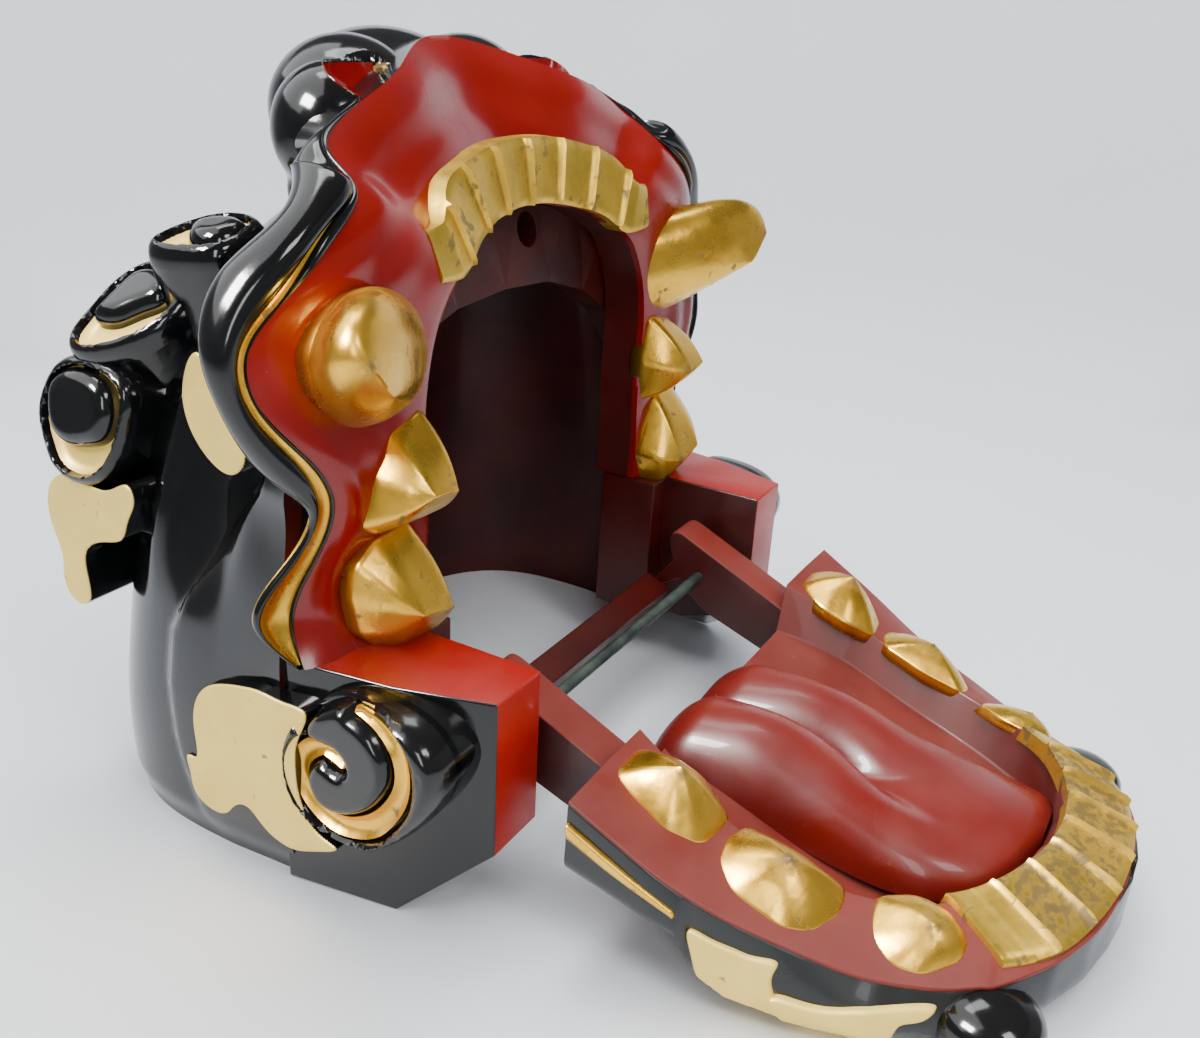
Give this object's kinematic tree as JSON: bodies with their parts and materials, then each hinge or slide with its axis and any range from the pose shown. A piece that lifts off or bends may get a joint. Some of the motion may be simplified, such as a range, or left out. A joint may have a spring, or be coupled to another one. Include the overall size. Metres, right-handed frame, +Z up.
{
  "type": "lion dance head",
  "caption": "Carved and lacquered wooden lion dance mask with curls along its crown, gold teeth and a hinged lower jaw, standing on its neck opening with the mouth open.",
  "frame": {"origin": "middle of the bounding box on the floor, under the head's neck opening and the opened jaw", "axes": "+X across the head to its right-hand pieces, -Y out of the mouth along the opened jaw, +Z up, from the neck opening to the nose"},
  "size_m": [0.44, 0.5516, 0.402],
  "materials": {
    "black_lacquer": "glossy black lacquer",
    "red_lacquer": "satin vermilion lacquer",
    "jaw_red_lacquer": "dusty red lacquer",
    "gold_leaf": "worn gold leaf on wood",
    "rod_metal": "dark patinated metal"
  },
  "bodies": {
    "head": {"head_shell": "black_lacquer", "mouth_rim": "red_lacquer", "palate": "jaw_red_lacquer", "nose": "black_lacquer", "upper_incisors": "gold_leaf", "pivot_rod": "rod_metal", "lip_band_left": "black_lacquer", "lip_band_right": "black_lacquer", "lip_groove_left": "gold_leaf", "lip_groove_right": "gold_leaf", "side_crescent_left": "gold_leaf", "side_crescent_right": "gold_leaf", "cheek_block_left": "red_lacquer", "cheek_block_right": "red_lacquer", "cheek_curl_left": "black_lacquer", "cheek_curl_right": "black_lacquer", "cheek_leaf_left": "gold_leaf", "cheek_leaf_right": "gold_leaf", "brow_curl_1_left": "black_lacquer", "brow_curl_1_right": "black_lacquer", "brow_curl_2_left": "black_lacquer", "brow_curl_2_right": "black_lacquer", "brow_curl_3_left": "black_lacquer", "brow_curl_3_right": "black_lacquer", "brow_leaf_left": "gold_leaf", "brow_leaf_right": "gold_leaf", "fang_left": "gold_leaf", "fang_right": "gold_leaf", "upper_molar_1_left": "gold_leaf", "upper_molar_1_right": "gold_leaf", "upper_molar_2_left": "gold_leaf", "upper_molar_2_right": "gold_leaf"},
    "jaw": {"jaw_tray": "jaw_red_lacquer", "jaw_handle": "jaw_red_lacquer", "tongue": "jaw_red_lacquer", "lower_incisors": "gold_leaf", "lower_lip": "black_lacquer", "jaw_arm_left": "jaw_red_lacquer", "jaw_arm_right": "jaw_red_lacquer", "lower_molar_1_left": "gold_leaf", "lower_molar_1_right": "gold_leaf", "lower_molar_2_left": "gold_leaf", "lower_molar_2_right": "gold_leaf", "lower_molar_3_left": "gold_leaf", "lower_molar_3_right": "gold_leaf", "lip_bar_left": "gold_leaf", "lip_bar_right": "gold_leaf", "jaw_leaf_left": "gold_leaf", "jaw_leaf_right": "gold_leaf", "chin_curl_left": "black_lacquer", "chin_curl_right": "black_lacquer"}
  },
  "joints": [
    {"name": "jaw_hinge", "type": "hinge", "parent": "head", "child": "jaw", "pos_m": [0, 0.01175, 0.0826], "axis": [-1, 0, 0], "range_deg": [0, 100]}
  ]
}
